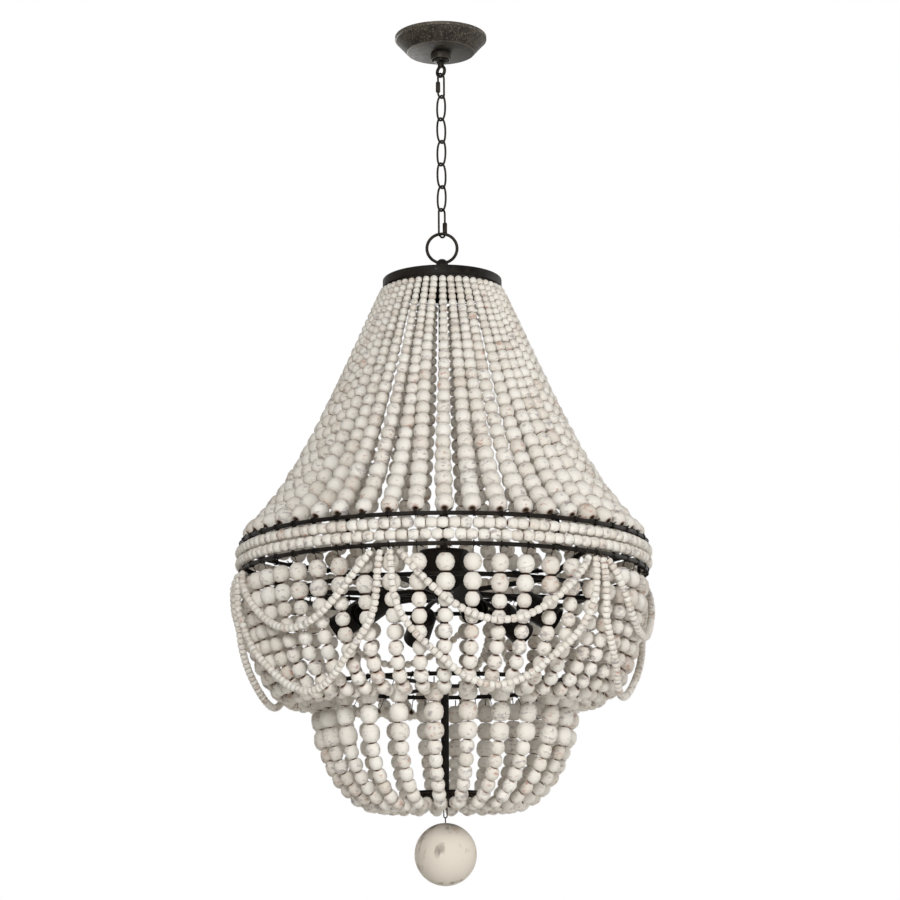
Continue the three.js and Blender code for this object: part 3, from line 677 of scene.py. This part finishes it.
# Hoops, with posts between them and the wires that bind the strings to them
inner, outer = hoop_radius - bar_half, hoop_radius + bar_half
hoop_outline = rounded([(inner, -bar_half), (outer, -bar_half), (outer, bar_half), (inner, bar_half)], 0.8, 2)
upper_parts = [turn_mesh(turned("upper", hoop_outline, 160), 0, upper_hoop_z)]
for azimuth in spread(6, -27):
    upper_parts.append(bar("post", (4, 6, 38), (291.2, 0, -819.9), azimuth))
    upper_parts.append(bar("tab", (10, 6, 4.6), (294.5, 0, upper_hoop_z), azimuth))
    upper_parts.append(bar("foot", (9, 6, 1.2), (294.6, 0, -838.4), azimuth, bevel=0.3))
wrap_angles = np.linspace(-0.6, 3.4 * math.pi, 26)
wraps = bound("wrap", upper_hoop_z, 4.1, wrap_angles, string_wire, upper_azimuths, lean=0.42)
twists = [twisted_end(a, upper_hoop_z + 3, 3.4) for a in upper_azimuths]
finish(join("upper_hoop_iron", [*upper_parts, *wraps, *twists]), frame_iron, "fixture", ["upper_hoop"])
lower = turn_mesh(turned("lower", hoop_outline, 160), 0, lower_hoop_z)
hook_angles = np.linspace(math.pi, -math.pi * 0.9, 16)
hooks = bound("hook", lower_hoop_z, 4.2, hook_angles, hook_wire, middle_azimuths)
twists = [twisted_end(a, lower_hoop_z - 2.6, -2.04) for a in middle_azimuths]
finish(join("lower_hoop_iron", [lower, *hooks, *twists, *middle_wires]), frame_iron, "fixture", ["lower_hoop"])

# Crown: the pan, and a bored knob that hangs on the big ring
crown_outline = rounded([(6.4, -391), (89, -391), (89, -402), (83, -402), (83, -403.5), (90.5, -403.5),
                         (90.5, -390.7), (89.3, -389.5), (6.4, -389.5)], 0.7, 2)
finish(turned("crown_pan", crown_outline, 128), frame_iron, "fixture", ["crown_cap"])
knob_radius = 9.5
bore_gap = 0.3
wall_over_bore = 3.5
knob_top = big_ring_bottom + 2.5 + bore_gap + wall_over_bore
dome = [(knob_radius * math.cos(a), knob_top - knob_radius + knob_radius * math.sin(a))
        for a in np.linspace(0, math.pi / 2, 10)]
knob_outline = [(0, -389.2), (8.9, -389.2), (9.5, -388.6), (9.5, -386), (8.9, -385), *dome[:-1], (0, knob_top)]
knob = turned("crown_knob", knob_outline, 48)
cut(knob, upright_ring(big_ring_radius, 3.4, big_ring_bottom + big_ring_radius - 0.6, 64, 20))
finish(knob, frame_iron, "fixture", ["crown_eye"])
stem_outline = rounded([(0, stem_bottom), (6, stem_bottom), (6, stem_top), (0, stem_top)], 0.5, 3)
finish(turned("stem_rod", stem_outline, 32), frame_iron, "fixture", ["centre_stem"])

# Ceiling parts. The ring nut is smooth, with a rolled lower rim round a sunk face.
canopy_outline = [(11.8, -26), (50.5, -26), (52.5, -25.2), (68, -7.6), (68.8, -6.1), (70.6, -5.2), (71, -4.4),
                  (71, 0), (67, 0), (67, -1.5), (67.6, -4.6), (51.5, -24), (50.5, -24.5), (11.8, -24.5)]
finish(turned("canopy_pan", canopy_outline, 96), canopy_iron, "canopy", ["canopy"], smooth=25)
collar_outline = rounded([(11.6, -35), (13, -35), (13.4, -37.3), (15.5, -37.3), (15.5, -27.4), (14.4, -26.3),
                          (11.6, -26.3)], 0.7, 4)
# The nut shares the canopy material; lying below the dish, it takes the darker, nearly unflecked tone that is
# painted there as shade
finish(turned("collar_nut", collar_outline, 72), canopy_iron, "canopy_collar", ["canopy_collar"], smooth=40)
neck_outline = rounded([(5.1, -28.3), (5.1, -16), (11.3, -16), (11.3, -40), (7, -41.5), (5, -44), (5, -48.8),
                        (0, -48.8), (0, -28.3)], 0.6, 2)
neck = turned("neck", neck_outline, 48)
eye = upright_ring(8, 2.5, -55.65, 48, 16, azimuth=-45)
finish(join("hanging_loop_casting", [neck, eye]), iron, "ceiling_plate", ["hanging_loop"])


# Chain, from the hanging loop down
def oblong(width, height, top, bends=12):
    """The middle line of a quick link: straight legs and round ends."""
    bend = width / 2
    points = []
    for half in (0, 1):
        for i in range(bends + 1):
            a = math.pi * (half + i / bends)
            points.append((bend * math.cos(a), 0, top + bend * math.sin(a) - bend - half * (height - width)))
    return points


def oval(width, height, top, steps=40):
    """The middle line of a chain link, its sides bowed a little."""
    points = []
    for i in range(steps):
        c, s = math.cos(math.tau * i / steps), math.sin(math.tau * i / steps)
        points.append((math.copysign(abs(c) ** 0.82, c) * width / 2, 0,
                       top - height / 2 + math.copysign(abs(s) ** 0.9, s) * height / 2))
    return points


def quick_link(link, side, height, top, bottom, azimuth):
    """An open link of wire, and the sleeve that closes its one leg."""
    leg = 6.5
    sleeve_bottom = bottom + leg + 0.9
    gate_top, gate_bottom = sleeve_bottom + 5.85, sleeve_bottom + 0.15
    points = oblong(2 * leg, height, top)
    if side < 0:
        half = len(points) // 2
        points = [*reversed(points[:half]), *reversed(points[half:])]
    points = [(side * leg, 0, gate_top), *points, (side * leg, 0, gate_bottom)]
    body = wire(f"{link}_wire", points, quick_link_wire)
    sleeve_node = link.replace("quick_link", "link_sleeve")
    sleeve = turned(f"{sleeve_node}_nut", rounded([
        (2.0, sleeve_bottom), (2.7, sleeve_bottom), (3.5, sleeve_bottom + 1), (3.5, sleeve_bottom + 16),
        (2.7, sleeve_bottom + 17), (2.0, sleeve_bottom + 17)], 0.3, 2), 24)
    turn = Matrix.Rotation(math.radians(azimuth), 4, "Z")
    sleeve.data.transform(turn @ Matrix.Translation((side * leg * MM, 0, 0)))
    finish(turn_mesh(body, azimuth), iron, link, [link])
    finish(sleeve, iron, sleeve_node, [sleeve_node])


seat = -61
quarter = 45
rise = 1.75
links = [("top_quick_link", 36), *[(f"chain_link_{i}", 36.3) for i in range(1, 6)], ("bottom_quick_link", 42)]
for link, pitch in links:
    height = pitch + 2 * rise
    if "quick" in link:
        side = -1 if link.startswith("top") else 1
        quick_link(link, side, height, seat + rise, seat - pitch - rise, quarter)
    else:
        body = wire(f"{link}_wire", oval(17.6, height, seat + rise), chain_wire, cyclic=True)
        finish(turn_mesh(body, quarter), iron, link, [link])
    seat -= pitch
    quarter = -quarter
big_ring = upright_ring(big_ring_radius, big_ring_wire, big_ring_bottom + big_ring_radius, 96, 20)
big_ring.name = "suspension_ring_forging"
finish(big_ring, iron, "suspension_ring", ["suspension_ring"])

# Wiring drum and lamp frame
drum_outline = rounded([(stem_bore, -809.5), (36, -809.5), (36, -867), (38.5, -867), (38.5, -811), (36.5, -807),
                        (stem_bore, -807)], 0.8, 2)
finish(turned("drum_shell", drum_outline, 72), frame_iron, "fixture", ["lamp_hub"])
collar_outline = rounded([(stem_bore, -879.3), (12, -879.3), (12, -867.3), (stem_bore, -867.3)], 0.8, 2)
ring_outline = rounded([(219, -875.5), (225, -875.5), (225, -869.5), (219, -869.5)], 0.8, 2)
frame_parts = [turned("collar", collar_outline, 40), turned("ring", ring_outline, 128)]
riser_out, riser_up = 74.3, 30.5
riser_length = math.hypot(riser_out, riser_up) + 2
riser_tilt = math.degrees(math.atan2(riser_up, riser_out))
for azimuth in spread(6, 41.75):
    frame_parts.append(bar("spoke", (213, 5, 7), (115.5, 0, spoke_z), azimuth))
    frame_parts.append(bar("riser", (riser_length, 5, 6.4), (259, 0, -857.4), azimuth, tilt=riser_tilt))
socket_radius, socket_z = 118, -887
socket_tilt = 32
sunk = 0.3
arm_end = (socket_radius - sunk * math.cos(math.radians(socket_tilt)),
           socket_z + sunk * math.sin(math.radians(socket_tilt)))
socket_azimuths = spread(6, first_swag_azimuth)
for azimuth in socket_azimuths:
    arm_points = []
    for t in np.linspace(0, 1, 14):
        r = 94 * 2 * t * (1 - t) + arm_end[0] * t ** 2 + 8 * (1 - t) ** 2
        z = spoke_z * ((1 - t) ** 2 + 2 * t * (1 - t)) + arm_end[1] * t ** 2
        arm_points.append(tuple(polar(r, azimuth, z)))
    frame_parts.append(wire("arm", arm_points, arm_tube, sides=4))
finish(join("lamp_frame_iron", frame_parts), frame_iron, "fixture", ["lamp_frame"])

# Sockets and their holders, turned upright and then laid on their arms
socket_outline = rounded([(0, 0), (15.5, 0), (19.5, 3.8), (19.5, 58.2), (20.1, 58.8), (20.1, 60), (18, 60),
                          (18, 4.4), (15, 1.5), (0, 1.5)], 0.5, 2)
holder_outline = rounded([(0, 1.8), (14.6, 1.8), (15, 2.2), (15, 56), (13.4, 56), (13.4, 26), (0, 26)], 0.5, 2)
for i, azimuth in enumerate(socket_azimuths):
    to_arm = (Matrix.Rotation(math.radians(azimuth), 4, "Z")
              @ Matrix.Translation((0, -socket_radius * MM, socket_z * MM))
              @ Matrix.Rotation(math.radians(90 + socket_tilt), 4, "X"))
    for kind, part, outline, steps, material in (("lamp_socket", "shell", socket_outline, 48, frame_iron),
                                                 ("lamp_holder", "body", holder_outline, 40, holder_black)):
        piece = turned(f"{kind}_{i + 1}_{part}", outline, steps)
        piece.data.transform(to_arm)
        finish(piece, material, "fixture", [f"{kind}_{i + 1}"])

# Lower ring, dish and finial
ring_outline = rounded([(178, -1011), (184, -1011), (184, -1005), (178, -1005)], 2.4, 4)
collar_outline = rounded([(stem_bore, -1014), (10, -1014), (10, -1002), (stem_bore, -1002)], 0.8, 2)
ring_parts = [turned("ring", ring_outline, 128), turned("collar", collar_outline, 40)]
for azimuth in spread(3, 90):
    ring_parts.append(bar("spoke", (171, 5.4, 5.4), (94, 0, lower_ring_z), azimuth, bevel=1.2))
tie = [(1.1 * math.sin(a), -lower_ring_radius - 4 * math.cos(a), lower_ring_z + 4 * math.sin(a))
       for a in np.linspace(-0.9, 2.6 * math.pi, 20)]
tie.insert(0, (0, -186.4, -1012.8))
ring_parts += [wire("tie", turned_points(tie, a), binding_wire, sides=1) for a in middle_azimuths]
finish(join("second_ring_iron", ring_parts), frame_iron, "fixture", ["second_ring"])
dish_outline = rounded([(stem_bore, stem_bottom), (45.5, stem_bottom), (50, -1162), (48.5, -1162), (44, -1172),
                        (stem_bore, -1172)], 0.6, 2)
finish(turned("dish_pan", dish_outline, 72), frame_iron, "fixture", ["bottom_dish"])
cone_outline = rounded([(0, -1182), (3.2, -1182), (12, -1177.3), (12, -1175.3), (0, -1175.3)], 0.5, 2)
cone = turned("cone", cone_outline, 40)
hole_z = -1184.9
bpy.ops.object.select_all(action="DESELECT")
bpy.ops.mesh.primitive_cube_add(size=1)
tab = bpy.context.active_object
tab.data.transform(Matrix.Translation((0, 0, -1183.6 * MM)) @ Matrix.Diagonal((2 * MM, 6 * MM, 9.2 * MM, 1)))
bpy.ops.mesh.primitive_cylinder_add(radius=1.7 * MM, depth=8 * MM, vertices=24, location=(0, 0, hole_z * MM),
                                    rotation=(0, math.pi / 2, 0))
cut(tab, bpy.context.active_object)
finish(join("finial_casting", [cone, tab]), frame_iron, "fixture", ["finial_cone"])

# The ball and the wire eye that hangs it from the finial
hanger_loop = wire("hanger", oblong(4.8, 15.2, hole_z), hook_wire, cyclic=True)
shank = wire("shank", [(0, 0, -1200.1), (0, 0, -1216.5)], hook_wire)
finish(join("ball_hanger_wire", [hanger_loop, shank]), wire_iron, "ball", ["ball_loop"])
ball_tone = 0.35
bpy.ops.object.select_all(action="DESELECT")
bpy.ops.mesh.primitive_uv_sphere_add(segments=64, ring_count=40, radius=45.4 * MM, location=(0, 0, -1253 * MM))
ball = bpy.context.active_object
ball.name = "ball_turning"
bpy.ops.object.transform_apply(location=True)
tone = ball.data.attributes.new("tone", "FLOAT", "POINT")
tone.data.foreach_set("value", np.full(len(ball.data.vertices), ball_tone, dtype=np.float32))
finish(ball, ball_wood, "ball", ["ball"])

# The pieces that the canopy hides keep their solids
for node in ("mounting_crossbar", "threaded_nipple"):
    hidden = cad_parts[node]
    hidden.data.materials.clear()
    hidden.data.materials.append(wire_iron)


# Stage and light: a white background and a pale floor, without more light on the object
def shown(tree):
    """White where the background itself is seen, directly or in a sheen."""
    path = add(tree, "ShaderNodeLightPath").outputs
    sheen = calculate(tree, "MAXIMUM", path["Is Glossy Ray"], path["Is Transmission Ray"])
    return calculate(tree, "MAXIMUM", path["Is Camera Ray"], sheen)


floor_paint = colour("#F6F5F3")
floor_glow = 0.75
floor_material, floor_tree, floor_shader = new_material("pale plaster")
floor_shader.inputs["Base Color"].default_value = floor_paint
floor_shader.inputs["Roughness"].default_value = 0.9
share = calculate(floor_tree, "MULTIPLY", shown(floor_tree), floor_glow)
pale = add(floor_tree, "ShaderNodeEmission", {"Color": floor_paint, "Strength": 0.9})
floor_look = add(floor_tree, "ShaderNodeMixShader",
                 {0: share, 1: floor_shader.outputs[0], 2: pale.outputs[0]})
floor_tree.links.new(floor_look.outputs[0], floor_tree.nodes["Material Output"].inputs["Surface"])
bpy.ops.object.select_all(action="DESELECT")
bpy.ops.mesh.primitive_plane_add(size=30, location=(0, 0, -2.4))
floor = bpy.context.active_object
floor.data.materials.append(floor_material)


def lamp(name, place, size, power):
    """A round soft lamp that faces the middle of the chandelier, in metres and watts."""
    data = bpy.data.lights.new(name, "AREA")
    data.shape = "DISK"
    data.size = size
    data.energy = power
    made = bpy.data.objects.new(name, data)
    made.location = place
    beam = Vector((0, 0, -0.8)) - Vector(place)
    made.rotation_euler = beam.to_track_quat("-Z", "Y").to_euler()
    bpy.context.scene.collection.objects.link(made)


lamp("key", (-0.5, -3.6, 0.1), 1.3, 82)
lamp("fill", (2.4, -2.6, -1.4), 1.6, 34)
lamp("rear", (-1.2, 3.6, -1.2), 1.6, 60)
lamp("side", (3.6, 1.4, -0.2), 1.6, 34)
world = bpy.data.worlds.new("studio")
bpy.context.scene.world = world
world.use_nodes = True
tree = world.node_tree
tree.nodes.clear()
soft = add(tree, "ShaderNodeBackground", {"Color": colour("#EFE4D0"), "Strength": 0.12})
white = add(tree, "ShaderNodeBackground", {"Color": colour("#FFFFFF"), "Strength": 1.0})
sky = add(tree, "ShaderNodeMixShader", {0: shown(tree), 1: soft.outputs[0], 2: white.outputs[0]})
add(tree, "ShaderNodeOutputWorld", {"Surface": sky.outputs[0]})

view = bpy.context.scene.view_settings
view.view_transform = "Standard"
